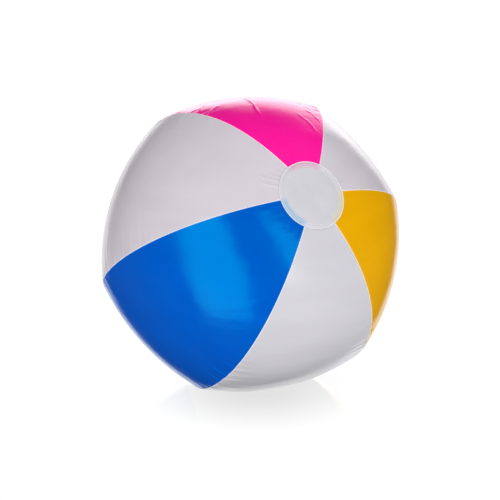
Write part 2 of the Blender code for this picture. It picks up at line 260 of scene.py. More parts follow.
def creases(panel, points):
    """Heights in mm of the creases at points of one panel."""
    total = np.zeros(points.shape[:-1])
    for where, start, end, height, width in CREASES:
        if where != panel:
            continue
        ends = [surface(panel, np.array([s]), np.array([math.radians(d)]))[0]
                for s, d in (start, end)]
        line = ends[1] - ends[0]
        length = np.linalg.norm(line)
        t = ((points - ends[0]) @ line) / length ** 2
        plane = np.cross(ends[0], ends[1])
        plane /= np.linalg.norm(plane)
        bow = 0.012 * length * np.sin(np.clip(t, 0, 1) * math.pi * 3 + where)
        off = points @ plane + bow
        fade = smooth_step(-0.02, 0.25, t) * (1 - smooth_step(0.75, 1.02, t))
        total = total + height * np.exp(-(off / (width * MM)) ** 2) * fade
    return total


# ---- mesh helpers -------------------------------------------------------------------------
def mesh_object(name, points, faces, smooth=True):
    mesh = bpy.data.meshes.new(name)
    mesh.from_pydata([tuple(p) for p in points], [], faces)
    mesh.update()
    if smooth:
        mesh.polygons.foreach_set("use_smooth", [True] * len(mesh.polygons))
    thing = bpy.data.objects.new(name, mesh)
    bpy.context.scene.collection.objects.link(thing)
    return thing


def grid_faces(rows, columns, flip=False):
    j, i = np.meshgrid(np.arange(rows - 1), np.arange(columns - 1), indexing="ij")
    a = (j * columns + i).ravel()
    quads = np.stack([a, a + 1, a + columns + 1, a + columns], 1)
    return [tuple(int(v) for v in (q[::-1] if flip else q)) for q in quads]


def add_value(thing, name, values):
    layer = thing.data.attributes.new(name, "FLOAT", "POINT")
    layer.data.foreach_set("value", np.asarray(values, np.float32).ravel())


def apply_modifiers(thing):
    """Replace the mesh by what its modifiers make."""
    graph = bpy.context.evaluated_depsgraph_get()
    made = bpy.data.meshes.new_from_object(thing.evaluated_get(graph), depsgraph=graph)
    made.name = thing.name
    thing.modifiers.clear()
    thing.data = made


# ---- film panels --------------------------------------------------------------------------
ROWS = 480
FIRST_COLUMN, COLUMN_STEP, COLUMN_GROW, WIDEST_STEP = 0.5, 0.45, 1.14, 1.75    # mm at the belt
SHORTEST_STEP = 0.6                           # mm left before mid panel
HEM = (2.6, 1.6, 0.75)                        # mm below the ridge
FOLD_SHARES = (0.25, 0.5, 0.75)               # points round the fold from panel to weld
INNER_EVERY = 9                               # the hidden inner skin needs fewer columns
WELD_DRAW = 2.6                               # mm; how far a drawn-in ridge pulls the film
FLAT_RADIUS, BLEND_RADIUS = 0.0190, 0.0340    # film flat on the flange, back on the curve
CALM_RADII = (0.018, 0.032)                   # no puckers inside the first, all by the second
FILM_HOLE = 0.0110                            # radius of the hole for the valve


def column_offsets(width):
    """Distances from the seam, close together where the film gathers, to mid panel."""
    offsets, step = [FIRST_COLUMN], COLUMN_STEP
    while offsets[-1] + step < width / 2 - SHORTEST_STEP:
        offsets.append(offsets[-1] + step)
        step = min(step * COLUMN_GROW, WIDEST_STEP)
    return np.array(offsets)


def row_angles():
    """Rows of points, closest together round the ball's belt where the film gathers."""
    t = np.linspace(TIP_ANGLE, math.pi - TIP_ANGLE, 4001)
    dense = 0.55 + np.exp(-((np.degrees(t) - 90) / 42.0) ** 2)
    total = np.concatenate([[0], np.cumsum((dense[1:] + dense[:-1]) / 2)])
    return np.interp(np.linspace(0, total[-1], ROWS), total, t)


def press_flat_for_valve(points):
    """Film lies flat on the valve's flange, with the same smooth change as the CAD."""
    away = np.hypot(points[..., 0] - VALVE.x, points[..., 2] - VALVE.z)
    share = np.clip((away - FLAT_RADIUS) / (BLEND_RADIUS - FLAT_RADIUS), 0, 1)
    keep = share * share * (3 - 2 * share)
    keep = np.where(points[..., 1] < CENTRE[1], 1.0, keep)
    out = points.copy()
    out[..., 1] = VALVE.y + (points[..., 1] - VALVE.y) * keep
    return out


def weld_ring(points):
    """Rings pressed into the film where it is welded to the valve's flange, in mm."""
    away = np.hypot(points[..., 0] - VALVE.x, points[..., 2] - VALVE.z) / MM
    turn = np.arctan2(points[..., 2] - VALVE.z, points[..., 0] - VALVE.x)
    behind = points[..., 1] > CENTRE[1]
    band = smooth_step(12.2, 12.7, away) * (1 - smooth_step(15.9, 16.4, away))
    knurl = 0.05 * np.cos(turn * 72) * np.cos((away - 14.3) * math.tau / 1.6)
    gather = 0.16 * np.cos(turn * 9 + 0.7) * np.cos(turn * 4) * np.exp(-((away - 24) / 7) ** 2)
    return (band * (knurl - 0.24) + gather * (away > 16)) * behind


def film_panel(name, panel):
    angles = row_angles()
    centre, bend, reach = panel_arc(panel)
    belt_width = 2 * reach * bend * SEAM_RADIUS / MM
    left = column_offsets(belt_width) / belt_width
    shares = np.concatenate([left, [0.5], 1 - left[::-1]])
    share, angle = np.meshgrid(shares, angles)
    plain = surface(panel, share, angle)
    normal = surface_normal(panel, share, angle)
    radial, axial = meridian(angles)
    step = np.hypot(np.diff(radial), np.diff(axial))
    run = np.concatenate([[0], np.cumsum(step)]) / MM
    run = run[:, None] + 0 * share
    width = belt_width * (radial / SEAM_RADIUS)[:, None]
    off_a, off_b = share * width, (1 - share) * width

    height = pucker(panel, run, off_a, angle, 1) + pucker(panel + 1, run, off_b, angle, 2)
    height = height + tip_puckers(panel, share, angle)
    height = height + creases(panel, plain)
    slack = 0.16 * smooth_noise(40 + panel)(run / 47.0) * np.sin(math.pi * share) ** 2
    height = height + slack
    points = CENTRE + plain
    if panel == VALVE_PANEL:
        points = press_flat_for_valve(points)
        near = np.hypot(points[..., 0] - VALVE.x, points[..., 2] - VALVE.z)
        calm = np.where(points[..., 1] > CENTRE[1], smooth_step(*CALM_RADII, near), 1.0)
        height = height * calm + weld_ring(points)
    points = points + normal * (height * MM)[..., None]

    edges = []
    for seam, off in ((panel, off_a), (panel + 1, off_b)):
        outward = seam_normal(seam, angles)
        wave = ridge_wave(seam, run[:, 0], angles)
        points += outward[:, None, :] * (wave[:, None] * np.exp(-off / WELD_DRAW) * MM)[..., None]
        ridge = around(np.full_like(angles, SEAMS[seam])) * radial[:, None]
        ridge = CENTRE + ridge + POLE * axial[:, None] + outward * (wave * MM)[:, None]
        edges.append((ridge, outward))

    def edge_columns(ridge, outward, first):
        inner = first - ridge
        inner /= np.linalg.norm(inner, axis=-1, keepdims=True)
        ridge = ridge + inner * 0.00005
        down = [ridge - outward * d * MM for d in HEM]
        turns = []
        for t in FOLD_SHARES:
            turns.append(down[-1] * (1 - t) ** 2 + ridge * (2 * t * (1 - t)) + first * t * t)
        return down + turns

    left_side = edge_columns(*edges[0], points[:, 0])
    right_side = edge_columns(*edges[1], points[:, -1])
    sheet = np.stack(left_side + [points[:, i] for i in range(points.shape[1])]
                     + right_side[::-1], 1)
    if panel == FLOOR_PANEL:
        sheet[..., 2] = np.maximum(sheet[..., 2], 0.0)
    extra = len(left_side)
    seam_mm = np.zeros(sheet.shape[:2])
    seam_mm[:, extra:-extra] = np.minimum(off_a, off_b)
    return closed_film(name, sheet, seam_mm, extra)


def closed_film(name, sheet, seam_mm, extra):
    """Close a grid of film points with a coarser inner skin one film thickness below."""
    rows, columns = sheet.shape[:2]
    normal = np.cross(np.gradient(sheet, axis=0), np.gradient(sheet, axis=1))
    normal /= np.linalg.norm(normal, axis=-1, keepdims=True)
    middle = sheet[rows // 2, columns // 2] - CENTRE
    normal *= np.sign(normal[rows // 2, columns // 2] @ middle)
    picks = list(range(extra)) + list(range(extra, columns - extra, INNER_EVERY))
    picks += list(range(columns - extra, columns))
    inner = (sheet - normal * FILM)[:, picks]
    few, base = len(picks), rows * columns
    faces = grid_faces(rows, columns)
    faces += [tuple(base + v for v in f) for f in grid_faces(rows, few, flip=True)]
    for j in range(rows - 1):
        a, b = j * columns, base + j * few
        faces.append((a, a + columns, b + few, b))
        a, b = a + columns - 1, b + few - 1
        faces.append((a + columns, a, b, b + few))
    for row, turn in ((0, 1), (rows - 1, -1)):
        ring = [row * columns + i for i in range(columns)]
        ring += [base + row * few + i for i in range(few - 1, -1, -1)]
        faces.append(tuple(ring[::-turn]))
    points = np.concatenate([sheet.reshape(-1, 3), inner.reshape(-1, 3)])
    thing = mesh_object(name, points, faces)
    fix_normals(thing)
    add_value(thing, "seam_mm", np.concatenate([seam_mm.ravel(), seam_mm[:, picks].ravel()]))
    return thing


def punch_valve_hole(thing):
    bpy.ops.mesh.primitive_cylinder_add(vertices=120, radius=FILM_HOLE, depth=0.03,
                                        location=VALVE, rotation=(math.pi / 2, 0, 0))
    cutter = bpy.context.object
    cutter.name = "hole_cutter"
    hole = thing.modifiers.new("hole", "BOOLEAN")
    hole.operation = "DIFFERENCE"
    hole.solver = "EXACT"
    hole.object = cutter
    apply_modifiers(thing)
    bpy.data.objects.remove(cutter)


# ---- turned pieces ------------------------------------------------------------------------
def turned(name, profile, matrix, steps, shape=None, close=True):
    """Revolve an (r, z) profile about local Z. shape may move (r, turn, z) points."""
    profile = np.array(profile, float)
    turn = np.linspace(0, math.tau, steps, endpoint=False)
    r = np.repeat(profile[:, :1], steps, 1)
    z = np.repeat(profile[:, 1:2], steps, 1)
    a = np.repeat(turn[None, :], len(profile), 0)
    if shape:
        r, z = shape(r, a, z)
    points = np.stack([r * np.cos(a), r * np.sin(a), z], -1)
    count = len(profile)
    faces = []
    for j in range(count if close else count - 1):
        k = (j + 1) % count
        for i in range(steps):
            n = (i + 1) % steps
            faces.append((j * steps + i, j * steps + n, k * steps + n, k * steps + i))
    thing = mesh_object(name, points.reshape(-1, 3), faces)
    if not close:
        weld_poles(thing)
    fix_normals(thing)
    thing.matrix_world = matrix
    return thing


def weld_poles(thing):
    work = bmesh.new()
    work.from_mesh(thing.data)
    bmesh.ops.remove_doubles(work, verts=work.verts[:], dist=1e-7)
    work.to_mesh(thing.data)
    work.free()


def fix_normals(thing):
    work = bmesh.new()
    work.from_mesh(thing.data)
    bmesh.ops.recalc_face_normals(work, faces=work.faces[:])
    work.to_mesh(thing.data)
    work.free()


def round_corners(corners, radius, steps=5):
    """An (r, z) outline with its corners rounded, closed."""
    out = []
    count = len(corners)
    for i in range(count):
        before, corner, after = (np.array(corners[(i + k) % count], float) for k in (-1, 0, 1))
        one, two = before - corner, after - corner
        cut = min(radius, 0.45 * np.linalg.norm(one), 0.45 * np.linalg.norm(two))
        one = corner + one / np.linalg.norm(one) * cut
        two = corner + two / np.linalg.norm(two) * cut
        for t in np.linspace(0, 1, steps):
            out.append(one * (1 - t) ** 2 + corner * 2 * t * (1 - t) + two * t * t)
    return out


def facing(direction, origin):
    turn = Vector((0, 0, 1)).rotation_difference(Vector(direction).normalized())
    return Matrix.Translation(Vector(origin)) @ turn.to_matrix().to_4x4()


def pole_disc(name, front):
    """Round film disc over the panel tips, with a double weld ring and a slightly wavy rim."""
    sign = 1 if front else -1
    edge = meridian(np.array([DISC_ANGLE]))[0][0] / MM
    rings = np.concatenate([np.linspace(0, 28, 22), np.linspace(28.6, edge, 30)])
    turn = np.linspace(0, math.tau, 288, endpoint=False)
    base_angles = np.linspace(0, DISC_ANGLE * 1.05, 60)
    base_r, base_z = meridian(base_angles)
    z = np.interp(rings * MM, base_r, base_z)
    seed = 60 if front else 70
    radius, angle = np.meshgrid(rings, turn, indexing="ij")
    rise = 0.36 + 0.42 * np.exp(-((radius - (edge - 3.0)) / 0.50) ** 2)
    rise += 0.30 * np.exp(-((radius - (edge - 4.9)) / 0.42) ** 2)
    rise += 0.26 * smooth_step(edge - 1.2, edge - 0.4, radius)
    rise -= 0.16 * np.exp(-((radius - (edge - 1.8)) / 0.6) ** 2)
    fold = smooth_noise(seed + 1)(angle * 8) * smooth_step(18, 31, radius)
    rise += 0.16 * fold * (1 - smooth_step(edge - 4.5, edge - 3.5, radius))
    rim = 1 + 0.0035 * smooth_noise(seed + 2)(angle * 6) * smooth_step(30, edge, radius)
    height = z[:, None] + rise * MM
    x, y = radius * rim * MM * np.cos(angle), radius * rim * MM * np.sin(angle)
    upper = np.stack([x, y, height], -1)
    lower = upper.copy()
    lower[..., 2] = z[:, None] + 0.08 * MM
    steps = len(turn)
    count = len(rings)
    points = np.concatenate([upper.reshape(-1, 3), lower.reshape(-1, 3)])
    faces = []
    for base, flip in ((0, False), (count * steps, True)):
        for j in range(count - 1):
            for i in range(steps):
                n = (i + 1) % steps
                face = (base + j * steps + i, base + (j + 1) * steps + i,
                        base + (j + 1) * steps + n, base + j * steps + n)
                faces.append(face[::-1] if flip else face)
    top, low = (count - 1) * steps, (2 * count - 1) * steps
    for i in range(steps):
        n = (i + 1) % steps
        faces.append((top + i, low + i, low + n, top + n))
    thing = mesh_object(name, points, faces)
    weld_poles(thing)
    fix_normals(thing)
    basis = Matrix((TOP, SIDE * sign, POLE * sign)).transposed()
    thing.matrix_world = Matrix.Translation(Vector(CENTRE)) @ basis.to_4x4()
    return thing


# ---- materials ----------------------------------------------------------------------------
def node_material(name):
    made = bpy.data.materials.new(name)
    made.use_nodes = True
    tree = made.node_tree
    return made, tree, tree.nodes["Principled BSDF"]


def add_node(tree, kind, **values):
    node = tree.nodes.new(kind)
    for key, value in values.items():
        setattr(node, key, value)
    return node


def mix_colours(tree, factor, one, two):
    node = tree.nodes.new("ShaderNodeMix")
    node.data_type = "RGBA"
    tree.links.new(factor, node.inputs[0])
    for value, socket in ((one, node.inputs[6]), (two, node.inputs[7])):    # its colour sockets
        if isinstance(value, bpy.types.NodeSocket):
            tree.links.new(value, socket)
        else:
            socket.default_value = (*value, 1.0)
    return node.outputs[2]


def ramp(tree, source, low, high, out_low=0.0, out_high=1.0):
    node = add_node(tree, "ShaderNodeMapRange")
    node.interpolation_type = "SMOOTHSTEP"
    node.inputs["From Min"].default_value = low
    node.inputs["From Max"].default_value = high
    node.inputs["To Min"].default_value = out_low
    node.inputs["To Max"].default_value = out_high
    tree.links.new(source, node.inputs["Value"])
    return node.outputs["Result"]


def noise(tree, scale, detail=2.0, stretch=None):
    place = add_node(tree, "ShaderNodeTexCoord")
    source = place.outputs["Object"]
    if stretch:
        mapping = add_node(tree, "ShaderNodeMapping")
        mapping.inputs["Scale"].default_value = stretch
        tree.links.new(source, mapping.inputs["Vector"])
        source = mapping.outputs["Vector"]
    node = add_node(tree, "ShaderNodeTexNoise")
    node.inputs["Scale"].default_value = scale
    node.inputs["Detail"].default_value = detail
    tree.links.new(source, node.inputs["Vector"])
    return node.outputs["Fac"]


def film_material(name, colour, shade, edge, tint, gloss):
    """Soft glossy vinyl film: slight colour drift, and a pale band at the weld that is partly paler
    strained film and partly a painted highlight along the ridge.
    """
    made, tree, shader = node_material(name)
    drift = ramp(tree, noise(tree, 9.0, 3.0), 0.35, 0.65)
    body = mix_colours(tree, drift, colour, shade)
    streaks = ramp(tree, noise(tree, 26.0, 5.0, (0.30, 0.55, 1.9)), 0.35, 0.70, 0.0, 0.5)
    body = mix_colours(tree, streaks, body, tuple(0.95 * value for value in shade))
    seam = add_node(tree, "ShaderNodeAttribute", attribute_name="seam_mm")
    # pale weld band: partly paler film at the weld, partly a painted highlight where the ridge's
    # shoulders catch the light
    pale = ramp(tree, seam.outputs["Fac"], 0.10, 0.75, 1.0, 0.0)
    tree.links.new(mix_colours(tree, pale, body, edge), shader.inputs["Base Color"])
    tree.links.new(ramp(tree, noise(tree, 26.0, 4.0), 0.3, 0.7, gloss, gloss + 0.07),
                   shader.inputs["Roughness"])
    shader.inputs["Specular IOR Level"].default_value = 0.85
    shader.inputs["Specular Tint"].default_value = (*tint, 1.0)
    peel = add_node(tree, "ShaderNodeBump")
    peel.inputs["Strength"].default_value = 0.10
    peel.inputs["Distance"].default_value = 0.0004
    tree.links.new(noise(tree, 210.0, 3.0), peel.inputs["Height"])
    ripple = add_node(tree, "ShaderNodeBump")
    ripple.inputs["Strength"].default_value = 0.30
    ripple.inputs["Distance"].default_value = 0.0012
    tree.links.new(noise(tree, 38.0, 2.0), ripple.inputs["Height"])
    tree.links.new(peel.outputs["Normal"], ripple.inputs["Normal"])
    slack = add_node(tree, "ShaderNodeBump")
    slack.inputs["Strength"].default_value = 0.30
    slack.inputs["Distance"].default_value = 0.0030
    tree.links.new(noise(tree, 22.0, 4.0, (0.30, 0.55, 1.5)), slack.inputs["Height"])
    tree.links.new(ripple.outputs["Normal"], slack.inputs["Normal"])
    tree.links.new(slack.outputs["Normal"], shader.inputs["Normal"])
    return made


def vinyl_material(name, colour, shade, rough):
    """Soft moulded vinyl of the valve, milky with a faint moulding grain."""
    made, tree, shader = node_material(name)
    drift = ramp(tree, noise(tree, 160.0, 3.0), 0.35, 0.65)
    tree.links.new(mix_colours(tree, drift, colour, shade), shader.inputs["Base Color"])
    tree.links.new(ramp(tree, noise(tree, 420.0, 3.0), 0.3, 0.7, rough, rough + 0.12),
                   shader.inputs["Roughness"])
    shader.inputs["Subsurface Weight"].default_value = 0.25
    shader.inputs["Subsurface Radius"].default_value = (0.003, 0.003, 0.003)
    grain = add_node(tree, "ShaderNodeBump")
    grain.inputs["Strength"].default_value = 0.2
    grain.inputs["Distance"].default_value = 0.0001
    tree.links.new(noise(tree, 900.0, 2.0), grain.inputs["Height"])
    tree.links.new(grain.outputs["Normal"], shader.inputs["Normal"])
    return made


# colour, its darker drift, the pale weld band (partly a painted highlight along the ridge),
# reflection tint, roughness
FILMS = {
    "white": film_material("white_film", (0.632, 0.588, 0.646), (0.602, 0.556, 0.610),
                           (0.94, 0.92, 0.94), (1.0, 1.0, 1.0), 0.16),
    # the lower white panel's copy of the white film, a little less pink: a painted tint of the whiter
    # light that panel gets
    "white low painted tint": film_material("white_film_low_painted_tint", (0.590, 0.580, 0.620), (0.565, 0.555, 0.595),
                               (0.94, 0.92, 0.94), (1.0, 1.0, 1.0), 0.16),
    "blue": film_material("blue_film", (0.0, 0.090, 0.525), (0.0, 0.083, 0.495),
                          (0.45, 0.66, 0.88), (0.0, 0.85, 1.0), 0.14),
    "magenta": film_material("magenta_film", (0.99, 0.006, 0.335), (0.96, 0.005, 0.31),
                             (0.95, 0.60, 0.78), (1.0, 0.88, 0.96), 0.14),
    "yellow": film_material("yellow_film", (0.785, 0.390, 0.0), (0.755, 0.370, 0.0),
                            (0.90, 0.76, 0.45), (1.0, 0.80, 0.15), 0.14),
}
TINT_BLUR = 0.014                          # turns; the tips' colours blend through the disc


def disc_material():
    """Milky disc film; the coloured panel tips show faintly through its outer ring."""
    made, tree, shader = node_material("disc_film")
    place = add_node(tree, "ShaderNodeTexCoord")
    split = add_node(tree, "ShaderNodeSeparateXYZ")
    tree.links.new(place.outputs["Object"], split.inputs["Vector"])
    turn = add_node(tree, "ShaderNodeMath", operation="ARCTAN2")
    tree.links.new(split.outputs["Y"], turn.inputs[0])
    tree.links.new(split.outputs["X"], turn.inputs[1])
    flat = add_node(tree, "ShaderNodeVectorMath", operation="MULTIPLY")
    flat.inputs[1].default_value = (1, 1, 0)
    tree.links.new(place.outputs["Object"], flat.inputs[0])
    length = add_node(tree, "ShaderNodeVectorMath", operation="LENGTH")
    tree.links.new(flat.outputs["Vector"], length.inputs[0])
    radius = length.outputs["Value"]
    share = add_node(tree, "ShaderNodeMapRange")
    share.inputs["From Min"].default_value = -math.pi
    share.inputs["From Max"].default_value = math.pi
    tree.links.new(turn.outputs["Value"], share.inputs["Value"])
    wheel = add_node(tree, "ShaderNodeValToRGB")
    pale = {"magenta": (0.68, 0.44, 0.56), "white": (0.61, 0.60, 0.64),
            "yellow": (0.66, 0.60, 0.44), "blue": (0.34, 0.49, 0.66)}
    order = ("magenta", "white", "yellow", "white", "blue", "white")
    stops = []
    for k in range(6):
        spot = ((SEAMS[k] + math.pi) % math.tau) / math.tau
        stops += [(spot - TINT_BLUR, order[k - 1]), (spot + TINT_BLUR, order[k])]
    stops.sort()
    while len(wheel.color_ramp.elements) < len(stops):
        wheel.color_ramp.elements.new(0.5)
    for element, (spot, _) in zip(wheel.color_ramp.elements, stops):
        element.position = spot
    for element, (_, kind) in zip(wheel.color_ramp.elements, stops):    # after any reorder
        element.color = (*pale[kind], 1.0)
    tree.links.new(share.outputs["Result"], wheel.inputs["Fac"])
    edge = float(meridian(np.array([DISC_ANGLE]))[0][0])
    cloud = ramp(tree, noise(tree, 30.0, 3.0), 0.3, 0.7)
    milk = mix_colours(tree, cloud, (0.595, 0.590, 0.630), (0.555, 0.550, 0.592))
    ring = ramp(tree, radius, edge - 0.0085, edge - 0.0035)
    body = mix_colours(tree, ring, milk, wheel.outputs["Color"])
    rim = ramp(tree, radius, edge - 0.0011, edge - 0.0004)
    tree.links.new(mix_colours(tree, rim, body, (0.74, 0.75, 0.79)),
                   shader.inputs["Base Color"])
    tree.links.new(ramp(tree, noise(tree, 60.0, 3.0), 0.3, 0.7, 0.15, 0.26),
                   shader.inputs["Roughness"])
    shader.inputs["Specular IOR Level"].default_value = 0.85
    ripple = add_node(tree, "ShaderNodeBump")
    ripple.inputs["Strength"].default_value = 0.35
    ripple.inputs["Distance"].default_value = 0.001
    tree.links.new(noise(tree, 55.0, 2.0), ripple.inputs["Height"])
    tree.links.new(ripple.outputs["Normal"], shader.inputs["Normal"])
    return made


# ---- build the ball -----------------------------------------------------------------------
def build_ball():
    # the lower white panel takes the copy of the white film with the painted light tint
    panels = (("panel_magenta", "magenta"), ("panel_white_right", "white"),
              ("panel_yellow", "yellow"), ("panel_white_low", "white low painted tint"),
              ("panel_blue", "blue"), ("panel_white_left", "white"))
    for index, (node, kind) in enumerate(panels):
        thing = film_panel("film_" + node.split("_", 1)[1], index)
        if index == VALVE_PANEL:
            punch_valve_hole(thing)
        thing.data.materials.clear()
        thing.data.materials.append(FILMS[kind])
        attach(thing, "ball")
        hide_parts(node)
    cover = disc_material()
    for node, front in (("pole_disc_front", True), ("pole_disc_rear", False)):
        thing = pole_disc("film_" + node, front)
        thing.data.materials.append(cover)
        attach(thing, "ball")
        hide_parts(node)


# ---- build the valve ----------------------------------------------------------------------
SOFT = vinyl_material("soft_vinyl", (0.74, 0.75, 0.80), (0.70, 0.71, 0.76), 0.28)
STEM_LENGTH = 0.0230
STEM_END = STEM_TOP - STEM_LENGTH
STEM_INNER = STEM_END / MM
MEMBRANE_THICK = 0.00045
# outlines as (radius, height) in mm, the height outward from the film's outer face
MEMBRANE = ((10.15, -1.0), (10.1, -2.4), (9.95, -3.6), (9.7, -4.8), (9.2, -5.9), (8.4, -6.7),
            (7.3, -7.1), (6.2, -7.15), (5.4, -6.95), (4.75, -6.6))
STEM = ((3.4, STEM_INNER), (5.6, STEM_INNER), (5.8, STEM_INNER + 0.25), (5.8, STEM_INNER + 1.2),
        (4.6, STEM_INNER + 1.6), (4.6, -7.6), (4.9, -7.3), (4.9, -6.3), (4.6, -6.0),
        (4.6, -0.9), (5.1, -0.7), (5.8, -0.4), (5.8, 0.7), (5.5, 1.0), (3.9, 1.0), (3.4, 0.6))
PLUG_TOP, PLUG_TIP = 2.55, -4.2
PLUG = ((0.0, PLUG_TOP), (3.2, PLUG_TOP), (3.6, 2.8), (5.3, 2.8), (6.0, 2.3), (6.0, 1.6),
        (5.7, 1.3), (3.25, 1.3), (3.1, 1.0), (3.05, 0.0), (2.9, -1.2), (2.6, -2.6), (2.2, -3.7),
        (1.6, PLUG_TIP), (0.0, PLUG_TIP))
STRAP_WIDTH, STRAP_THICK = 0.0040, 0.0007
STRAP_REACH = 0.0123                       # valve axis to the strap's fold
FOLD_LEVEL = STEM_TOP + GAP / 2


def finish_piece(thing, body, *nodes):
    thing.data.materials.clear()
    thing.data.materials.append(SOFT)
    if body:
        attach(thing, body)
    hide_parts(*nodes)


def build_valve():
    out = facing((0, 1, 0), VALVE)
    top = -FILM - GAP
    flange = round_corners([(0.0102, top - 0.0008), (0.0170, top - 0.0006), (0.0170, top - 0.0001),
                            (0.0108, top), (0.0102, top - 0.0001)], 0.0003)
    thing = turned("valve_flange_ring", flange, out, 120)
    finish_piece(thing, "ball", "valve_flange")

    line = [np.array(p) * MM for p in MEMBRANE]
    fine = [line[0]]
    for one, two in zip(line, line[1:]):
        fine += [one + (two - one) * t for t in (0.25, 0.5, 0.75, 1.0)]
    back = []
    for i, p in enumerate(fine):
        along = fine[min(i + 1, len(fine) - 1)] - fine[max(i - 1, 0)]
        along /= np.linalg.norm(along)
        back.append(p + np.array([-along[1], along[0]]) * MEMBRANE_THICK)

    def rolls(r, a, z):
        """Shallow pleats where the membrane rolls."""
        depth = smooth_step(-0.0015, -0.0055, z) * smooth_step(0.0050, 0.0075, r)
        return r, z + 0.00012 * np.cos(a * 14) * depth
    thing = turned("valve_membrane_skirt", fine + back[::-1], out, 120, rolls)
    finish_piece(thing, None, "valve_membrane")
    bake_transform(thing)

    thing = turned("valve_stem_tube", round_corners([(r * MM, z * MM) for r, z in STEM], 0.0003),
                   out, 96)
    finish_piece(thing, "stem", "valve_stem")

    # the corners on the axis stay sharp
    outline = [(0.0, PLUG_TOP * MM)] + [tuple(p) for p in round_corners(
        [(r * MM, z * MM) for r, z in PLUG], 0.00035)][5:-5] + [(0.0, PLUG_TIP * MM)]

    def grips(r, a, z):
        """Fine grip ribs round the cap's edge."""
        ring = smooth_step(0.0054, 0.0059, r) * smooth_step(0.0014, 0.0017, z)
        return r * (1 - 0.012 * ring * (0.5 + 0.5 * np.cos(a * 36))), z
    thing = turned("plug_cap", outline, out, 144, grips, close=False)
    finish_piece(thing, "plug", "plug")

    build_strap()
    build_flap()


def build_strap():
    """One soft strap: out from the stem's collar, round a tight fold and back to the cap."""
    width, thick, reach = STRAP_WIDTH, STRAP_THICK, STRAP_REACH
    low, high = FOLD_LEVEL - GAP / 2 - thick / 2, FOLD_LEVEL + GAP / 2 + thick / 2
    path = [(0.0057 + (reach - 0.0057) * t, low) for t in np.linspace(0, 1, 12)]
    bend = (high - low) / 2
    path += [(reach + bend * math.sin(a), FOLD_LEVEL - bend * math.cos(a))
             for a in np.linspace(0, math.pi, 12)[1:-1]]
    path += [(reach - (reach - 0.0059) * t, high) for t in np.linspace(0, 1, 12)]
    ring = []
    for a in np.linspace(0, math.tau, 20, endpoint=False):
        c, s = math.cos(a), math.sin(a)
        ring.append((abs(c) ** 0.45 * math.copysign(1, c), abs(s) ** 0.6 * math.copysign(1, s)))
    points, count = [], len(path)
    for i, (u, w) in enumerate(path):
        du = path[min(i + 1, count - 1)][0] - path[max(i - 1, 0)][0]
        dw = path[min(i + 1, count - 1)][1] - path[max(i - 1, 0)][1]
        size = math.hypot(du, dw)
        nu, nw = -dw / size, du / size
        slim = 1.0 - 0.35 * math.exp(-((i - count / 2) / 3.0) ** 2)
        for across, up in ring:
            points.append((VALVE.x + u + nu * up * thick / 2 * slim,
                           VALVE.y + w + nw * up * thick / 2 * slim,
                           VALVE.z + across * width / 2 * (1.0 - 0.15 * (1 - slim) / 0.35)))
    step = len(ring)
    faces = []
    for j in range(count - 1):
        for i in range(step):
            n = (i + 1) % step
            faces.append((j * step + i, j * step + n, (j + 1) * step + n, (j + 1) * step + i))
    faces.append(tuple(range(step))[::-1])
    faces.append(tuple((count - 1) * step + i for i in range(step)))
    thing = mesh_object("plug_strap", points, faces)
    fix_normals(thing)
    finish_piece(thing, None, "strap_stem_end", "strap_plug_end")
    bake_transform(thing)


def build_flap():
    """Thin check flap with a domed face and a waisted tab."""
    radius, thick, hinge, tab = 0.0043, 0.0006, 0.0054, 0.0018
    outline = []
    start = math.asin(tab / radius)
    outline.append((-hinge, tab))
    for i in range(61):
        a = start + (math.tau - 2 * start) * i / 60
        outline.append((-math.cos(a) * radius, math.sin(a) * radius))
    outline.append((-hinge, -tab))
    rings = ((1.0, 0.0), (1.0, 0.55), (0.93, 1.0), (0.60, 1.0), (0.30, 1.0))
    points = []
    count = len(outline)
    top = STEM_END - GAP
    for shrink, level in rings:
        for x, z in outline:
            points.append((VALVE.x + x * shrink, VALVE.y + top - thick * level, VALVE.z + z * shrink))
    faces = []
    for j in range(len(rings) - 1):
        for i in range(count):
            n = (i + 1) % count
            faces.append((j * count + i, j * count + n, (j + 1) * count + n, (j + 1) * count + i))
    faces.append(tuple(range(count))[::-1])
    faces.append(tuple((len(rings) - 1) * count + i for i in range(count)))
    thing = mesh_object("check_flap_disc", points, faces, smooth=False)
    fix_normals(thing)
    finish_piece(thing, "flap", "check_flap")


# ---- studio -------------------------------------------------------------------------------
CAMERA_AZIMUTH = math.radians(-30.45)      # from -Y towards +X
CAMERA_DROP = math.radians(19.13)          # the view looks down by this much
CAMERA_DISTANCE = 8.692 * SEAM_RADIUS
CAMERA_LENS = 95.3                         # mm on a 36 mm sensor
BACKDROP_LEFT, BACKDROP_RIGHT = (-0.70, -0.50), (0.42, 0.58)   # sines off the view line
BACKDROP_LOW, BACKDROP_HIGH = (-0.62, -0.42), (0.61, 0.90)
BACKDROP_UPPER_LEFT = (0.8, -0.74, -0.50)  # slanted cuts: slope, then where it fades
BACKDROP_LOWER_LEFT = (0.9, -0.73, -0.60)
BACKDROP_LIGHT = 0.55
BACKDROP_TOP = 2.4                         # its upper part is brighter
SURROUND_MIRRORED, SURROUND_LIGHT = 0.015, 0.28
FRONT_LIGHT, FRONT_TO_RIGHT = 1.54, 0.12   # broad light from the camera's side
FLOOR_NEAR, FLOOR_FAR = 0.26, 1.16         # light from the floor, dark near the contact
FLOOR_SPREAD = (0.03, 0.30)                # distances from the contact for those two
FLOOR_MIRROR, MIRROR_FADE = 0.30, (0.040, 0.165)   # its reflection, and where that fades
CLEAN_WHITE = 1.03                         # floor and surround as the camera sees them
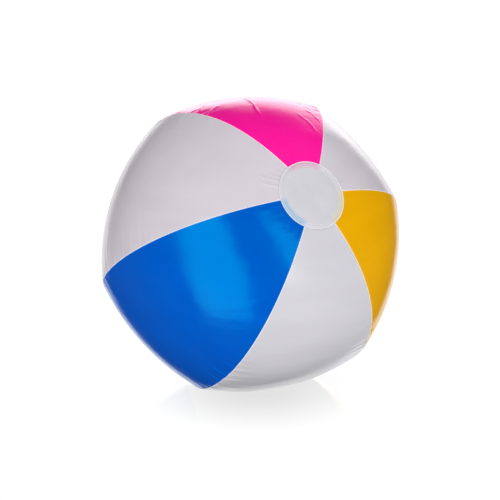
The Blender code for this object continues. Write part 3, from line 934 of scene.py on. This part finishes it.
# soft boxes seen in reflections: radiance, then corners (azimuth from -Y towards +X,
# elevation, degrees) with the softness of the edge that starts there, as a sine
SOFT_BOXES = (
    (2.7, ((-73, 22, 0.05), (-38, 40, 0.03), (-30, 0, 0.04), (-36, -24, 0.14),
           (-69, -35, 0.14))),
    (2.3, ((-4, 42, 0.04), (13, 31, 0.04), (15, -9, 0.05), (-4, 17, 0.05))),
)
SHIFT_RIGHT, SHIFT_UP = 0.0069 * SEAM_RADIUS, 0.0397 * SEAM_RADIUS


def camera_axes():
    c, s = math.cos(CAMERA_AZIMUTH), math.sin(CAMERA_AZIMUTH)
    level = Vector((-s, c, 0.0))
    forward = level * math.cos(CAMERA_DROP) - Vector((0, 0, math.sin(CAMERA_DROP)))
    up = level * math.sin(CAMERA_DROP) + Vector((0, 0, math.cos(CAMERA_DROP)))
    return Vector((c, s, 0.0)), up, forward


def build_camera():
    right, up, forward = camera_axes()
    place = (Vector(CENTRE) - forward * CAMERA_DISTANCE - right * SHIFT_RIGHT - up * SHIFT_UP)
    data = bpy.data.cameras.new("camera")
    data.lens = CAMERA_LENS
    data.sensor_width = 36.0
    data.clip_start, data.clip_end = 0.05, 100.0
    camera = bpy.data.objects.new("camera", data)
    basis = Matrix((right, up, -forward)).transposed()
    camera.matrix_world = Matrix.Translation(place) @ basis.to_4x4()
    bpy.context.scene.collection.objects.link(camera)
    bpy.context.scene.camera = camera


def build_floor():
    """White floor that lights the ball from below and mirrors it close to the contact."""
    bpy.ops.mesh.primitive_circle_add(vertices=96, radius=6.0, fill_type="NGON",
                                      location=(0, 0, -0.0002))
    floor = bpy.context.object
    floor.name = "floor"
    made = bpy.data.materials.new("floor")
    made.use_nodes = True
    tree = made.node_tree
    tree.nodes.clear()
    out = add_node(tree, "ShaderNodeOutputMaterial")
    glow = add_node(tree, "ShaderNodeEmission")
    glow.inputs["Color"].default_value = (1, 1, 1, 1)
    seen = add_node(tree, "ShaderNodeLightPath")
    strength = add_node(tree, "ShaderNodeMix")
    tree.links.new(seen.outputs["Is Diffuse Ray"], strength.inputs[0])
    strength.inputs[2].default_value = CLEAN_WHITE
    place = add_node(tree, "ShaderNodeTexCoord")
    length = add_node(tree, "ShaderNodeVectorMath", operation="LENGTH")
    tree.links.new(place.outputs["Object"], length.inputs[0])
    away = length.outputs["Value"]
    tree.links.new(ramp(tree, away, *FLOOR_SPREAD, FLOOR_NEAR, FLOOR_FAR), strength.inputs[3])
    tree.links.new(strength.outputs[0], glow.inputs["Strength"])
    mirror = add_node(tree, "ShaderNodeBsdfGlossy")
    mirror.inputs["Roughness"].default_value = 0.0
    fade = ramp(tree, away, *MIRROR_FADE, FLOOR_MIRROR, 0.0)
    mixer = add_node(tree, "ShaderNodeMixShader")
    tree.links.new(fade, mixer.inputs[0])
    tree.links.new(glow.outputs[0], mixer.inputs[1])
    tree.links.new(mirror.outputs[0], mixer.inputs[2])
    tree.links.new(mixer.outputs[0], out.inputs["Surface"])
    floor.data.materials.append(made)
    floor.visible_glossy = False


def aim(azimuth, height):
    """Direction from the ball's centre; azimuth from -Y towards +X, both in degrees."""
    a, h = math.radians(azimuth), math.radians(height)
    return Vector((math.sin(a) * math.cos(h), -math.cos(a) * math.cos(h), math.sin(h)))


def build_world():
    """All of the studio's light: clean white to the camera, a backdrop and soft boxes in
    reflections, and a broad light from the camera's side on matt surfaces."""
    world = bpy.data.worlds.new("studio")
    bpy.context.scene.world = world
    world.use_nodes = True
    tree = world.node_tree
    back = tree.nodes["Background"]
    place = add_node(tree, "ShaderNodeTexCoord")
    right, up, forward = camera_axes()

    def along(axis):
        node = add_node(tree, "ShaderNodeVectorMath", operation="DOT_PRODUCT")
        node.inputs[1].default_value = axis
        tree.links.new(place.outputs["Generated"], node.inputs[0])
        return node.outputs["Value"]

    def times(one, two):
        node = add_node(tree, "ShaderNodeMath", operation="MULTIPLY")
        tree.links.new(one, node.inputs[0])
        tree.links.new(two, node.inputs[1])
        return node.outputs["Value"]

    def plus(one, two):
        node = add_node(tree, "ShaderNodeMath", operation="ADD")
        tree.links.new(one, node.inputs[0])
        if isinstance(two, float):
            node.inputs[1].default_value = two
        else:
            tree.links.new(two, node.inputs[1])
        return node.outputs["Value"]

    def scaled(one, value):
        node = add_node(tree, "ShaderNodeMath", operation="MULTIPLY")
        tree.links.new(one, node.inputs[0])
        node.inputs[1].default_value = value
        return node.outputs["Value"]

    ahead = ramp(tree, along(forward), 0.2, 0.5)
    wide = times(ramp(tree, along(right), *BACKDROP_LEFT),
                 ramp(tree, along(right), *BACKDROP_RIGHT, 1.0, 0.0))
    tall = times(ramp(tree, along(up), *BACKDROP_LOW),
                 ramp(tree, along(up), *BACKDROP_HIGH, 1.0, 0.0))
    slope, dark, bright = BACKDROP_UPPER_LEFT
    corner = ramp(tree, along(right - up * slope), dark, bright)
    slope, dark, bright = BACKDROP_LOWER_LEFT
    corner = times(corner, ramp(tree, along(right + up * slope), dark, bright))
    backdrop = times(times(ahead, corner), times(wide, tall))
    glow = ramp(tree, along(up), 0.15, 0.50, 1.0, BACKDROP_TOP)
    mirrored = times(backdrop, glow)
    for radiance, corners in SOFT_BOXES:
        aims = [aim(azimuth, height) for azimuth, height, _ in corners]
        shape = None
        for i, (_, _, soft) in enumerate(corners):
            edge = aims[(i + 1) % len(aims)].cross(aims[i]).normalized()
            side = ramp(tree, along(edge), -soft, soft)
            shape = times(shape, side) if shape else side
        mirrored = plus(mirrored, scaled(shape, radiance))
    mirrored = plus(mirrored, SURROUND_MIRRORED)
    front = along((right * FRONT_TO_RIGHT - forward).normalized())
    front = ramp(tree, front, 0.0, 1.0, 0.0, FRONT_LIGHT)
    front.node.interpolation_type = "LINEAR"
    lit = plus(plus(front, scaled(backdrop, BACKDROP_LIGHT)), SURROUND_LIGHT)
    seen = add_node(tree, "ShaderNodeLightPath")
    kind = add_node(tree, "ShaderNodeMix")
    tree.links.new(seen.outputs["Is Glossy Ray"], kind.inputs[0])
    tree.links.new(lit, kind.inputs[2])
    tree.links.new(mirrored, kind.inputs[3])
    clean = add_node(tree, "ShaderNodeMath", operation="MAXIMUM")
    tree.links.new(seen.outputs["Is Camera Ray"], clean.inputs[0])
    tree.links.new(seen.outputs["Is Singular Ray"], clean.inputs[1])
    mixer = add_node(tree, "ShaderNodeMix")
    tree.links.new(clean.outputs["Value"], mixer.inputs[0])
    tree.links.new(kind.outputs[0], mixer.inputs[2])
    mixer.inputs[3].default_value = CLEAN_WHITE
    back.inputs["Color"].default_value = (1, 1, 1, 1)
    tree.links.new(mixer.outputs[0], back.inputs["Strength"])


build_ball()
build_valve()
build_camera()
build_floor()
build_world()
bpy.context.scene.view_settings.view_transform = "Standard"
